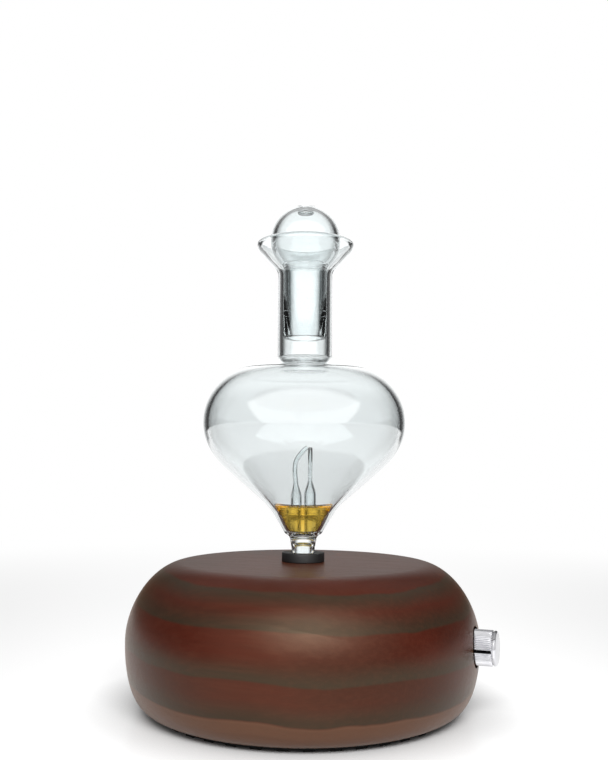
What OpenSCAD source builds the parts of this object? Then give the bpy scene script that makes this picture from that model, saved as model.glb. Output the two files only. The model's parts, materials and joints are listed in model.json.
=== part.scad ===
// Nebulising essential oil diffuser: a turned wooden base that holds a small air pump,
// with a lift-off glass reservoir, a glass stopper and a knurled control knob.
// Frame: the origin is under the centre of the base on the surface that it stands on,
// +X runs out through the control knob, +Y runs out through the power inlet, +Z is up.

/* [Wooden base] */
// Greatest diameter of the base
base_d = 160; // [156:1:170]
// Height of the wood
base_h = 62; // [62:1:68]
// Height of the widest line above the underside of the wood
belly_z = 29.5; // [28:0.5:32]
// Radius of the flat top
top_flat_r = 55; // [50:1:58]
// Roundness of the upper edge: 2 is an ellipse, more is squarer
crown_power = 1.8; // [1.6:0.1:2.4]
// Radius of the flat underside
sole_r = 67.5; // [67:0.5:69]
// Roundness of the lower edge
sole_power = 2.2; // [1.8:0.1:2.6]
// Thickness of the wood over the inner space
roof_t = 10; // [8:0.5:11]

/* [Foot] */
// Height of the rubber foot ring
foot_h = 2; // [2:0.5:4]
// Number of tread blocks round the ring
tread_count = 40; // [20:4:60]
// Width of the slot between two blocks
tread_gap = 5; // [3:0.5:6]

/* [Glass] */
// Outer radius of the bulb
bulb_r = 46.9; // [44:0.1:50]
// Outer radius of the neck
neck_r = 12.8; // [12.5:0.1:14]
// Wall thickness of the glass
glass_t = 2.4; // [2:0.1:2.6]
// Outer radius of the stopper's ball
ball_r = 16.5; // [15:0.5:17.5]
// Radius of the mist outlet in the ball
vent_r = 3.6; // [2.5:0.1:4.5]
// Angle of the plane of the two inner tubes about the vertical axis
tube_plane_angle = 20; // [0:5:90]
// Height of the oil surface above the underside of the foot
oil_z = 90; // [84:1:92]

/* [Control knob] */
// Diameter of the knob
knob_d = 15; // [13:0.5:16]
// How far the knob stands out of the wood
knob_proud = 8; // [5:0.5:10]
// Number of knurl ridges
knurl_count = 60; // [36:6:72]

/* [Hidden] */
$fn = 96;
eps = 0.01;
slip = 0.05;

base_r = base_d / 2;
wood_z0 = foot_h;
wood_z1 = foot_h + base_h;
roof_z = wood_z1 - roof_t;
plate_t = 3;
plate_top = wood_z0 + plate_t;
plate_r = 60.6;
cavity_r = 54;
cavity_h = 40;
roof_r = 45;
knob_z = wood_z0 + belly_z;
jack_z = 24;

// Socket in the top of the base
collar_r = 9.8;
collar_z = wood_z1 + 4.2;
barrel_r = 6.4;
barrel_z0 = roof_z - 8;
seat_z = roof_z;
barb_z0 = barrel_z0 - 10;

// Glass
plug_bore_r = 3.4;
bowl_z = collar_z + 9.2;
equator_z = bowl_z + 50.5;
root_z = bowl_z + 82;
neck_z1 = 196.8;
rim_z = 212.2;
ball_z = 214.9;
stem_r = neck_r - glass_t - 0.3;
stem_bore_r = stem_r - 2;
stem_z0 = 167.3;
jet_x = 3;
jet_z1 = 116;
siphon_x = -3.3;

// Pump, lying along X
pump_y = -19;
pump_z = 25;
can_r = 12.2;
can_x0 = -41;
can_x1 = -13;
head_r = 13.5;
head_bore_r = 10.2;
screw_ring_r = 11.8;
cup_offset = 5.8;

// Circuit board
board_x = 28;
board_y0 = 10;
board_y1 = 42;
board_z = 13;
board_t = 1.6;
board_top = board_z + board_t;
board_holes = [[-25, 13], [25, 13], [-25, 39], [25, 39]];

// Control, along X, and power inlet, along Y
wall_x0 = 65;
wall_x1 = 69;
knob_r = knob_d / 2;
knob_x0 = wall_x1 + 1;
knob_x1 = base_r + knob_proud;
wall_y0 = 64;
wall_y1 = 68;
inlet_y0 = 60.5;
inlet_length = 8;

// ---------- Curves ----------

function unit(v) = v / norm(v);

// Points of a cubic curve, without its last point
function bezier(a, b, c, d, n = 8) = [for (i = [0 : n - 1]) let (t = i / n, s = 1 - t)
    s * s * s * a + 3 * s * s * t * b + 3 * s * t * t * c + t * t * t * d];

// A smooth path through every point of p
function smooth(p, n = 4) = concat(
    [for (i = [0 : len(p) - 2]) for (k = [0 : n - 1])
        let (t = k / n, a = p[max(i - 1, 0)], b = p[i], c = p[i + 1], d = p[min(i + 2, len(p) - 1)])
        b + 0.5 * (c - a) * t + (a - 2.5 * b + 2 * c - 0.5 * d) * t * t
            + (1.5 * b - 0.5 * a - 1.5 * c + 0.5 * d) * t * t * t],
    [p[len(p) - 1]]);

// Rounded edge from radius r_max at angle 0 to r_min at angle 90, as a superellipse
function rounded(r_min, r_max, z_wide, z_flat, power, n = 14) = [for (i = [0 : n])
    let (a = 90 * i / n)
    [r_min + (r_max - r_min) * pow(cos(a), 2 / power), z_wide + (z_flat - z_wide) * pow(sin(a), 2 / power)]];

function reversed(p) = [for (i = [len(p) - 1 : -1 : 0]) p[i]];

// The same outline moved inwards, for a wall that is t0 thick at its first point and t1 at its last
function inset(p, t0, t1) = [for (i = [0 : len(p) - 1])
    let (d = unit(p[min(i + 1, len(p) - 1)] - p[max(i - 1, 0)]), t = t0 + (t1 - t0) * i / (len(p) - 1))
    p[i] + t * [-d[1], d[0]]];

function tangent(p, i) = unit(p[min(i + 1, len(p) - 1)] - p[max(i - 1, 0)]);

function side_vectors(p, v, i = 0) = i == len(p) ? [] :
    let (t = tangent(p, i), s = unit(v - (v * t) * t)) concat([s], side_vectors(p, s, i + 1));

function ring_points(p, r, sides) =
    let (first = abs(tangent(p, 0)[2]) < 0.9 ? [0, 0, 1] : [1, 0, 0], s = side_vectors(p, first))
    [for (i = [0 : len(p) - 1]) let (t = tangent(p, i), u = cross(t, s[i]))
        for (j = [0 : sides - 1]) p[i] + r[i] * (cos(360 * j / sides) * s[i] + sin(360 * j / sides) * u)];

// ---------- Helpers ----------

// Triangles between the rings of a swept tube that has n rings
function wall_faces(n, sides) = [for (i = [0 : n - 2]) for (j = [0 : sides - 1])
    let (a = i * sides + j, b = i * sides + (j + 1) % sides)
    each [[a, a + sides, b], [b, a + sides, b + sides]]];

// A round bar along a path; r is one radius for each point
module swept_bar(path, r, sides = 8) {
    n = len(path);
    start = [for (j = [0 : sides - 1]) j];
    finish = [for (j = [sides - 1 : -1 : 0]) (n - 1) * sides + j];
    polyhedron(ring_points(path, r, sides), concat([start], wall_faces(n, sides), [finish]));
}

// A hollow tube along a path, with one outer and one inner radius for each point
module swept_tube(path, outer, inner, sides = 12) {
    n = len(path);
    m = n * sides;
    outside = wall_faces(n, sides);
    inside = [for (f = outside) [f[2] + m, f[1] + m, f[0] + m]];
    ends = [for (j = [0 : sides - 1]) let (k = (j + 1) % sides, e = (n - 1) * sides)
        each [[j, k, j + m], [k, k + m, j + m], [e + j, e + j + m, e + k], [e + k, e + j + m, e + k + m]]];
    points = concat(ring_points(path, outer, sides), ring_points(path, inner, sides));
    polyhedron(points, concat(outside, inside, ends));
}

function same(value, path) = [for (p = path) value];

module along_x(x, y, z) { translate([x, y, z]) rotate([0, 90, 0]) children(); }
module along_y(x, y, z) { translate([x, y, z]) rotate([-90, 0, 0]) children(); }
module pump_axis(x) { along_x(x, pump_y, pump_z) children(); }

module disc_x(x0, x1, r) { pump_axis(x0) cylinder(r = r, h = x1 - x0); }

module hex(across, h) { cylinder(r = across / sqrt(3), h = h, $fn = 6); }

module around_pump(count, r, x) {
    for (i = [0 : count - 1]) pump_axis(x) rotate(i * 360 / count) translate([r, 0, 0]) children();
}

module block(x, y, z, dx, dy, dz) { translate([x, y, z]) cube([dx, dy, dz]); }

// ---------- Base ----------

module base_screw_places() { for (i = [0 : 3]) rotate(45 + 90 * i) translate([57.5, 0, 0]) children(); }

module wood_outline() {
    upper = rounded(top_flat_r, base_r, knob_z, wood_z1, crown_power);
    lower = rounded(sole_r, base_r, knob_z, wood_z0, sole_power);
    crown = [for (i = [1 : len(upper) - 1]) upper[i]];
    polygon(concat([[0, wood_z0]], reversed(lower), crown, [[0, wood_z1]]));
}

module wood_shell() {
    color("#4b2013") difference() {
        rotate_extrude() wood_outline();
        translate([0, 0, wood_z0 - 1]) cylinder(r = plate_r + 0.4, h = plate_t + 1);
        translate([0, 0, plate_top - eps]) cylinder(r = cavity_r, h = cavity_h + eps);
        translate([0, 0, plate_top + cavity_h - eps])
            cylinder(r1 = cavity_r, r2 = roof_r, h = roof_z - plate_top - cavity_h + eps);
        translate([0, 0, roof_z - 1]) cylinder(r = barrel_r + 0.2, h = roof_t + 2);
        // Control: pocket outside, milled flat inside, hole for the bushing between them
        along_x(wall_x1, 0, knob_z) cylinder(r = knob_r + 1.2, h = 30);
        along_x(wall_x0 - 1, 0, knob_z) cylinder(r = 3.6, h = wall_x1 - wall_x0 + 2);
        block(wall_x0 - 25, -13, knob_z - 18, 25, 26, 31);
        // Power inlet: the same on the back
        along_y(0, wall_y1, jack_z) cylinder(r = 9, h = 30);
        along_y(0, wall_y0 - 1, jack_z) cylinder(r = 5.7, h = wall_y1 - wall_y0 + 2);
        block(-10, wall_y0 - 24, jack_z - 10, 20, 24, 20);
        base_screw_places() translate([0, 0, plate_top - 1]) cylinder(r = 1.3, h = 11);
    }
}

module base_plate() {
    color("#1d1d1f") difference() {
        translate([0, 0, wood_z0]) cylinder(r = plate_r, h = plate_t);
        for (ring = [[0, 1], [4, 6], [8, 12]]) for (i = [0 : ring[1] - 1])
            rotate(i * 360 / ring[1]) translate([ring[0], 0, wood_z0 - 1]) cylinder(r = 1.3, h = plate_t + 2);
        base_screw_places() {
            translate([0, 0, wood_z0 - 1]) cylinder(r = 1.6, h = plate_t + 2);
            translate([0, 0, wood_z0 - 0.1]) cylinder(r1 = 3.2, r2 = 1.2, h = 2);
        }
    }
}

module foot_ring() {
    outer = sole_r - 0.9;
    inner = plate_r + 1;
    color("#151515") difference() {
        cylinder(r = outer, h = foot_h);
        translate([0, 0, -1]) cylinder(r = inner, h = foot_h + 2);
        for (i = [0 : tread_count - 1]) rotate(i * 360 / tread_count)
            translate([inner + 1, -tread_gap / 2, -1]) cube([outer, tread_gap, 1 + foot_h / 2]);
    }
}

module base_screws() {
    color("#9a9a9a") base_screw_places() difference() {
        union() {
            translate([0, 0, wood_z0 + 0.1]) cylinder(r1 = 2.9, r2 = 1.25, h = 1.4);
            translate([0, 0, wood_z0 + 1.4]) cylinder(r = 1.25, h = 11);
        }
        for (a = [0, 90]) rotate(a) translate([-1.6, -0.3, wood_z0 - 1]) cube([3.2, 0.6, 1.9]);
    }
}

// ---------- Glass socket and air line ----------

module socket_collar() {
    color("#242424") difference() {
        union() {
            translate([0, 0, wood_z1]) cylinder(r = collar_r, h = collar_z - wood_z1 - 0.4);
            translate([0, 0, collar_z - 0.4]) cylinder(r1 = collar_r, r2 = collar_r - 0.4, h = 0.4);
            translate([0, 0, barrel_z0]) cylinder(r = barrel_r, h = wood_z1 - barrel_z0);
        }
        translate([0, 0, seat_z]) cylinder(r1 = 5.05, r2 = 5.45, h = collar_z - seat_z + eps);
        translate([0, 0, barrel_z0 - 1]) cylinder(r = 3.2, h = seat_z - barrel_z0 + 2);
        translate([0, 0, collar_z - 3.2]) cylinder(r = 7.3, h = 2.2);
    }
}

module socket_seal() {
    color("#101010") translate([0, 0, collar_z - 2.1])
        rotate_extrude() translate([6.25, 0]) circle(r = 1, $fn = 32);
}

module socket_nut() {
    color("#b5a06a") difference() {
        translate([0, 0, roof_z - 4]) hex(20, 4);
        translate([0, 0, roof_z - 5]) cylinder(r = barrel_r + slip, h = 6);
    }
}

module hose_barb() {
    color("#c9a64f") difference() {
        union() {
            translate([0, 0, barrel_z0]) cylinder(r = 3.15, h = 6);
            translate([0, 0, barrel_z0 - 2]) hex(9, 2);
            translate([0, 0, barb_z0]) cylinder(r = 1.9, h = 8);
            for (k = [0 : 2]) translate([0, 0, barb_z0 + 1 + 2 * k]) cylinder(r1 = 1.9, r2 = 2.1, h = 1.2);
        }
        translate([0, 0, barb_z0 - 1]) cylinder(r = 1.3, h = 20);
    }
}

module air_hose() {
    route = smooth([[0, 0, barb_z0 + 6], [0, 0, barb_z0 + 1], [3, 0, 30], [13, 1, 27], [26, 1, 26],
        [35, -5, 25], [37, pump_y + 7, pump_z], [32, pump_y + 1, pump_z], [25, pump_y, pump_z],
        [18, pump_y, pump_z]]);
    color("#d8dcdc") swept_tube(route, same(3.2, route), same(2.35, route));
}

// ---------- Pump motor ----------

module motor_can() {
    color("#b9bcc0") difference() {
        union() {
            disc_x(can_x0, can_x1, can_r);
            disc_x(can_x1 - eps, can_x1 + 1.5, 3);
        }
        disc_x(can_x0 - 1, can_x1 - 1, can_r - 0.8);
        disc_x(can_x1 - 2, can_x1 + 2, 1 + slip);
    }
}

module motor_end_cap() {
    color("#e8e6df") difference() {
        union() {
            disc_x(can_x0 - 2, can_x0, can_r - 0.2);
            disc_x(can_x0 - eps, can_x0 + 2, can_r - 0.85);
        }
        disc_x(can_x0 - eps, can_x0 + 3, can_r - 2.6);
        disc_x(can_x0 - 3, can_x0 + 1, 1 + slip);
        for (s = [-1, 1]) block(can_x0 - 3, pump_y + s * 5 - 1.3, pump_z - 0.3, 4, 2.6, 0.6);
    }
}

module motor_terminals() {
    color("#c9a64f") for (s = [-1, 1]) block(can_x0 - 5, pump_y + s * 5 - 1.2, pump_z - 0.25, 5.8, 2.4, 0.5);
}

module motor_magnets() {
    color("#4a4a4d") difference() {
        disc_x(-38, -18, can_r - 0.85);
        disc_x(-39, -17, 9.8);
        block(-40, pump_y - 20, pump_z - 4, 24, 40, 8);
    }
}

module motor_shaft() { color("#c4c7ca") disc_x(can_x0 - 1.5, -4, 1); }

module motor_armature() {
    color("#8d8f92") difference() {
        disc_x(-36, -20, 9.4);
        disc_x(-37, -19, 1 + slip);
        around_pump(3, 6.4, -37) cylinder(r = 3.1, h = 18);
        around_pump(3, 9.4, -37) translate([0, -0.8, 0]) cube([3, 1.6, 18]);
    }
}

module armature_windings() { color("#a5562c") around_pump(3, 6.2, -37.5) cylinder(r = 2.8, h = 19); }

module commutator() {
    color("#b87333") difference() {
        disc_x(-40.5, -37.2, 2.8);
        disc_x(-41, -37, 1 + slip);
    }
}

// ---------- Pump head ----------

crank_offset = 2.67;
crank_x0 = -6;
crank_pivot_x = 2;
crank_length = 5.9;

// The pin leans so that its line meets the pump's axis at the pivot
module crank(r) {
    lean = atan(crank_offset / (crank_pivot_x - crank_x0));
    translate([crank_x0, pump_y, pump_z + crank_offset])
        rotate([0, 90 + lean, 0]) cylinder(r = r, h = crank_length);
}

module eccentric_cam() {
    color("#dedad0") difference() {
        disc_x(-9.5, -2.8, 5.2);
        disc_x(-10, -3.8, 1 + slip);
        crank(0.8 + slip);
    }
}

module crank_pin() { color("#c4c7ca") crank(0.8); }

module pump_screw_holes() { around_pump(3, screw_ring_r, -14) cylinder(r = 0.95, h = 32); }

module pump_housing() {
    color("#2b2d30") difference() {
        disc_x(can_x1, 3.5, head_r);
        disc_x(can_x1 + 2, 4, head_bore_r);
        disc_x(can_x1 - 1, can_x1 + 3, 3 + slip);
        pump_screw_holes();
    }
}

module wobble_plate() {
    color("#e9e7e1") difference() {
        union() {
            disc_x(-1.6, 0, 4);
            for (i = [0 : 2]) pump_axis(-1.6) rotate(60 + i * 120) {
                translate([0, -1.5, 0]) cube([6, 3, 1.6]);
                translate([cup_offset, 0, 0]) cylinder(r = 2.4, h = 1.6);
            }
        }
        disc_x(-2, 1, 2.4);
    }
}

module diaphragm_cups(r, x0, x1) {
    for (i = [0 : 2]) pump_axis(x0) rotate(60 + i * 120)
        translate([cup_offset, 0, 0]) cylinder(r = r, h = x1 - x0);
}

module diaphragm() {
    color("#3a3a3a") difference() {
        union() {
            disc_x(3.5, 5, head_r);
            diaphragm_cups(3.6, 0, 4);
        }
        diaphragm_cups(2.8, 1, 6);
        pump_screw_holes();
    }
}

module valve_plate() {
    color("#e9e7e1") difference() {
        disc_x(5, 8, head_r);
        diaphragm_cups(0.8, 4, 9);
        pump_screw_holes();
    }
}

module check_valve() { color("#303030") disc_x(8, 8.8, 7.5); }

module head_cover() {
    color("#2b2d30") difference() {
        union() {
            disc_x(8, 16, head_r);
            disc_x(16 - eps, 25, 1.9);
            for (k = [0 : 2]) pump_axis(18.5 + 2 * k) cylinder(r1 = 2.1, r2 = 1.9, h = 1.2);
        }
        disc_x(7, 14, 9);
        disc_x(13, 26, 1.2);
        pump_screw_holes();
    }
}

module pump_screws() {
    color("#b9bcc0") {
        around_pump(3, screw_ring_r, -11.5) cylinder(r = 0.9, h = 27.5);
        around_pump(3, screw_ring_r, 16) cylinder(r = 1.6, h = 1.2);
    }
}

// ---------- Pump support ----------

sleeve_r = 14.5;
cradle_z = 22;
strap_y = 17.2;

module pump_sleeve() {
    color("#2a2a2a") difference() {
        disc_x(-38, -16, sleeve_r);
        disc_x(-39, -15, can_r + slip);
    }
}

module pump_cradle() {
    color("#303236") difference() {
        block(-36, pump_y - 19, plate_top, 18, 38, cradle_z - plate_top);
        disc_x(-40, -14, sleeve_r + slip);
        for (s = [-1, 1]) translate([-27, pump_y + s * strap_y, cradle_z - 10]) cylinder(r = 1.3, h = 12);
    }
}

module pump_strap() {
    color("#c4c7ca") difference() {
        union() {
            disc_x(-31, -23, sleeve_r + 1);
            block(-31, pump_y - 19, cradle_z, 8, 38, 1);
        }
        disc_x(-32, -22, sleeve_r + slip);
        block(-32, pump_y - 25, cradle_z - 30, 10, 50, 30);
        for (s = [-1, 1]) translate([-27, pump_y + s * strap_y, cradle_z - 1]) cylinder(r = 1.3, h = 3);
    }
}

module strap_screws() {
    color("#9a9a9a") for (s = [-1, 1]) translate([-27, pump_y + s * strap_y, 0]) {
        translate([0, 0, cradle_z - 8]) cylinder(r = 1.2, h = 9);
        translate([0, 0, cradle_z + 1]) cylinder(r = 1.7, h = 1.4);
    }
}

module intake_filter() { color("#d9d4c6") translate([0, 0, plate_top]) cylinder(r = 11, h = 3); }

// ---------- Electronics ----------

module control_board() {
    color("#1f5b3a") difference() {
        block(-board_x, board_y0, board_z, 2 * board_x, board_y1 - board_y0, board_t);
        for (h = board_holes) translate([h[0], h[1], board_z - 1]) cylinder(r = 1.3, h = 4);
    }
}

module board_standoffs() {
    color("#c9a64f") for (h = board_holes) translate([h[0], h[1], plate_top]) difference() {
        hex(5, board_z - plate_top);
        translate([0, 0, 2]) cylinder(r = 1.25, h = 10);
    }
}

module board_screws() {
    color("#b9bcc0") for (h = board_holes) translate([h[0], h[1], 0]) {
        translate([0, 0, board_z - 4]) cylinder(r = 1.2, h = 4 + board_t);
        translate([0, 0, board_top]) cylinder(r = 2.2, h = 1.4);
    }
}

module board_chips() {
    color("#1a1a1a") {
        block(-6, 22, board_top, 9, 9, 1.6);
        block(8, 24, board_top, 6, 5, 1.6);
        block(-18, 28, board_top, 7, 6, 2.3);
    }
}

module board_capacitors() {
    color("#8f9297") {
        translate([19, 31, board_top]) cylinder(r = 4, h = 12);
        translate([19, 20, board_top]) cylinder(r = 3.2, h = 8);
    }
}

module board_connectors() {
    color("#efece4") for (place = [[-18, 14, 0], [8, 12, 0], [-4, 34, 0]])
        block(place[0], place[1], board_top, 8, 6, 7);
}

// ---------- Speed control and knob ----------

module control_body() {
    color("#5c6066") difference() {
        union() {
            along_x(56, 0, knob_z) cylinder(r = 8.2, h = wall_x0 - 56);
            along_x(wall_x0 - eps, 0, knob_z) cylinder(r = 3.5, h = 8);
        }
        along_x(58, 0, knob_z) cylinder(r = 3 + slip, h = 20);
    }
}

module control_terminals() {
    color("#c9a64f") for (k = [-1 : 1]) block(57.5, 4 * k - 0.7, knob_z - 12, 0.6, 1.4, 6);
}

module control_nut() {
    color("#c4c7ca") difference() {
        union() {
            along_x(wall_x1, 0, knob_z) cylinder(r = 6, h = 0.5);
            along_x(wall_x1 + 0.5, 0, knob_z) hex(10, 2.2);
        }
        along_x(wall_x1 - 1, 0, knob_z) cylinder(r = 3.5 + slip, h = 6);
    }
}

module control_shaft() {
    color("#c4c7ca") difference() {
        along_x(58.5, 0, knob_z) cylinder(r = 3, h = 25.5);
        block(75, -4, knob_z - 6.2, 12, 8, 4);
    }
}

module knurl_outline() {
    polygon([for (i = [0 : knurl_count - 1]) for (k = [0, 1])
        let (a = (i + k / 2) * 360 / knurl_count, r = knob_r - 0.35 * k) r * [cos(a), sin(a)]]);
}

module control_knob() {
    cap = 2.2;
    color("#d9dbde") difference() {
        union() {
            along_x(knob_x0, 0, knob_z) linear_extrude(knob_x1 - knob_x0 - cap) knurl_outline();
            along_x(knob_x1 - cap - eps, 0, knob_z) cylinder(r = knob_r - 0.4, h = cap - 0.6);
            along_x(knob_x1 - 0.6 - eps, 0, knob_z) cylinder(r1 = knob_r - 0.4, r2 = knob_r - 1.2, h = 0.6);
        }
        along_x(knob_x0 - 1, 0, knob_z) cylinder(r = 6.4, h = 5);
        along_x(knob_x0, 0, knob_z) cylinder(r = 3 + slip, h = 14.5);
        translate([77, 0, knob_z - 10]) cylinder(r = 1.25, h = 8);
    }
}

module knob_set_screw() { color("#3a3a3a") translate([77, 0, knob_z - 7]) cylinder(r = 1.2, h = 4.7); }

// ---------- Power inlet ----------

module power_jack() {
    color("#1c1c1e") difference() {
        union() {
            along_y(0, wall_y1, jack_z) cylinder(r = 7, h = 2);
            along_y(0, 58, jack_z) cylinder(r = 5.6, h = 11);
            along_y(0, 53, jack_z) cylinder(r = 4.5, h = 6);
        }
        along_y(0, inlet_y0 - 0.5, jack_z) cylinder(r = 3.15, h = 12);
        along_y(0, inlet_y0 - 3, jack_z) cylinder(r = 0.8 + slip, h = 4);
    }
}

module power_jack_pin() {
    color("#c4c7ca") {
        along_y(0, inlet_y0 - 3, jack_z) cylinder(r = 0.8, h = 3 + eps);
        along_y(0, inlet_y0, jack_z) cylinder(r = 1, h = inlet_length);
    }
}

module power_jack_nut() {
    color("#c4c7ca") difference() {
        along_y(0, wall_y0 - 2.2, jack_z) hex(14, 2.2);
        along_y(0, wall_y0 - 3, jack_z) cylinder(r = 5.6 + slip, h = 4);
    }
}

module power_jack_terminals() {
    color("#c9a64f") for (s = [-1, 1]) block(2.5 * s - 0.9, 49, jack_z - 0.3, 1.8, 4, 0.6);
}

// ---------- Wiring ----------

module wires(routes, shades) {
    for (i = [0 : len(routes) - 1]) let (route = smooth(routes[i], 3)) color(shades[i])
        swept_bar(route, same(0.7, route));
}

module motor_wires() {
    live = [[-46.8, -14, 25], [-48, -8, 25], [-44, 3, 24], [-34, 11, 24], [-22, 16, 24.5], [-15, 17, 22.5],
        [-14.5, 17, 21.6]];
    return_wire = [[-46.8, -24, 25], [-48.5, -17, 27], [-48, -5, 28], [-40, 9, 27.5], [-24, 17, 27],
        [-13, 18, 23.5], [-12.4, 18, 21.6]];
    wires([live, return_wire], ["#b3261e", "#161616"]);
}

module control_wires() {
    function route(k) = [[57.8, 4 * k, 18.8], [56, 4 * k + 1, 16], [46, 6 + 3 * k, 18], [32, 12 + k, 24],
        [20, 14 + k, 25.5], [12.3 + 1.8 * k, 15, 23.5], [12 + 1.8 * k, 15, 21.6]];
    wires([for (k = [-1 : 1]) route(k)], ["#d8b400", "#e8e8e8", "#1f6f3a"]);
}

module power_wires() {
    function route(s) = [[2.5 * s, 48.2, jack_z], [2.5 * s, 45, 24.5], [2 * s, 41, 24.5], [1.6 * s, 37.5, 23],
        [1.5 * s, 37, 21.6]];
    wires([for (s = [-1, 1]) route(s)], ["#161616", "#b3261e"]);
}

// ---------- Glass ----------

rim_lip = 0.9;

// Outer line of the bowl and bulb, from the top of the plug to the foot of the neck
function bulb_line() =
    let (waist = [6.9, bowl_z - 1.6], corner = [8.6, bowl_z - 0.4], bend = [14, bowl_z + 8.6],
        cone0 = [20.6, bowl_z + 15.7], cone1 = [bulb_r - 11.5, bowl_z + 28.3],
        widest = [bulb_r, equator_z], shoulder = [bulb_r - 17.2, bowl_z + 75.5],
        root = [neck_r, bowl_z + 81.5])
    concat([waist], bezier(corner, corner + [1.5, 2.5], bend - [2.4, 4], bend, 3),
        bezier(bend, bend + [1.3, 2.2], cone0 - [2.7, 2.3], cone0, 4),
        bezier(cone1, cone1 + [8.1, 7], widest - [0, 8], widest, 10),
        bezier(widest, widest + [0, 10.6], shoulder + [10.3, -4], shoulder, 12),
        bezier(shoulder, shoulder + [-10.8, 4.9], root - [0, 2.3], root, 8), [root]);

// Inner line of the bowl and bulb, from just over the floor up, moved in by gap
function bulb_inside(gap) =
    let (line = bulb_line(), over_floor = [for (i = [2 : len(line) - 1]) line[i]])
    [for (p = inset(over_floor, glass_t + gap, glass_t + gap)) if (p[1] > bowl_z + 0.5) p];

// Outer line of the flared mouth, from the top of the neck to the rim
function flare_line() =
    let (mouth = [neck_r, neck_z1], cone0 = [neck_r + 3.6, neck_z1 + 6.4],
        cone1 = [neck_r + 8.2, neck_z1 + 11.4], rim = [neck_r + 10.1, rim_z])
    concat(bezier(mouth, mouth + [0, 3], cone0 - [1.8, 1.8], cone0, 6),
        bezier(cone1, cone1 + [1.3, 1.3], rim - [0, 1.4], rim, 5), [rim]);

// The whole blown reservoir; its three sections below are fused at flat joints
module reservoir_glass() {
    plug = [[plug_bore_r, seat_z], [4.7, seat_z], [5.1, collar_z]];
    bulb = bulb_line();
    flare = flare_line();
    rim = flare[len(flare) - 1];
    lip = [for (a = [30 : 30 : 150]) rim + [-rim_lip, 0] + rim_lip * [cos(a), sin(a)]];
    inside = concat(reversed(inset(flare, glass_t, 2 * rim_lip)), reversed(bulb_inside(0)));
    floor_line = [[5.8, bowl_z], [0, bowl_z], [0, bowl_z - 4], [plug_bore_r - 0.8, bowl_z - 4],
        [plug_bore_r, bowl_z - 5]];
    color("#cfdde0", 0.35) difference() {
        rotate_extrude() polygon(concat(plug, bulb, flare, lip, inside, floor_line));
        rotate(tube_plane_angle) translate([2.3, 0, bowl_z - 6]) cylinder(r = 1.05, h = 8, $fn = 32);
    }
}

module reservoir_section(z0, z1) {
    intersection() {
        reservoir_glass();
        translate([0, 0, z0]) cylinder(r = bulb_r + 5, h = z1 - z0);
    }
}

module reservoir_bowl() { reservoir_section(seat_z - 1, equator_z); }

module reservoir_bulb() { reservoir_section(equator_z, root_z); }

module reservoir_neck() { reservoir_section(root_z, rim_z + 5); }

module air_jet_tube() {
    wide_r = 2.8;
    thin_r = 1;
    shoulder_z = bowl_z + 18;
    // One wall of the tube: straight, drawn down between z0 and z0 + 7.8, then straight to the jet
    function wall(wide, thin, z0) = concat([[wide, bowl_z]],
        bezier([wide, z0], [wide, z0 + 2.4], [thin, z0 + 4.2], [thin, z0 + 7.8], 6),
        [[thin, z0 + 7.8], [thin, jet_z1]]);
    outside = wall(wide_r, thin_r, shoulder_z);
    inside = wall(1.9, 0.5, shoulder_z - 0.6);
    color("#dfe8ea", 0.4) rotate(tube_plane_angle) translate([jet_x, 0, 0]) rotate_extrude($fn = 48)
        polygon(concat(outside, reversed(inside)));
}

module oil_siphon_tube() {
    stand = siphon_x;
    straight = [for (z = [bowl_z, bowl_z + 8, bowl_z + 15.9]) [stand, 0, z]];
    swan_neck = smooth([[stand - 0.2, 0, bowl_z + 19.6], [stand - 0.4, 0, bowl_z + 23.6],
        [stand - 0.8, 0, bowl_z + 29.2], [stand, 0, bowl_z + 32.9], [stand + 2.6, 0, bowl_z + 36.5],
        [stand + 4.4, 0, bowl_z + 38.2]], 3);
    taper = [2.5, 2.5, 2.5, 1.8, 1.5, 1.3];
    function outer(i) = i < len(taper) ? taper[i] : 1.1;
    path = concat(straight, swan_neck);
    radii = [for (i = [0 : len(path) - 1]) outer(i)];
    color("#dfe8ea", 0.4) rotate(tube_plane_angle) difference() {
        swept_tube(path, radii, 0.6 * radii);
        translate([stand, 0, bowl_z + 1.5]) rotate([90, 0, 0]) cylinder(r = 0.7, h = 4, $fn = 12);
    }
}

module essential_oil() {
    gap = 0.1;
    wall = bulb_inside(gap);
    side = [for (p = wall) if (p[1] < oil_z - 0.5) p];
    surface_r = lookup(oil_z, [for (p = wall) [p[1], p[0]]]);
    color("#e0a21c", 0.7) difference() {
        rotate_extrude() polygon(concat([[0, bowl_z + gap], [5.65, bowl_z + gap]], side,
            [[surface_r, oil_z], [0, oil_z]]));
        rotate(tube_plane_angle) {
            translate([jet_x, 0, bowl_z]) cylinder(r = 2.9, h = 30);
            translate([siphon_x, 0, bowl_z]) cylinder(r = 2.6, h = 30);
        }
    }
}

module glass_stopper() {
    ball_t = 2.2;
    inner_r = ball_r - ball_t;
    stem_angle = acos(stem_r / ball_r);
    bore_angle = acos(stem_bore_r / inner_r);
    vent_angle = acos(vent_r / ball_r);
    vent_in_angle = acos(vent_r / inner_r);
    function arc(r, from, to, n) = [for (i = [0 : n]) let (a = from + (to - from) * i / n)
        [r * cos(a), ball_z + r * sin(a)]];
    color("#cfdde0", 0.35) rotate_extrude() polygon(concat(
        [[stem_bore_r, stem_z0], [stem_r, stem_z0]],
        arc(ball_r, -stem_angle, vent_angle, 20),
        arc(inner_r, vent_in_angle, -bore_angle, 18)));
}

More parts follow.
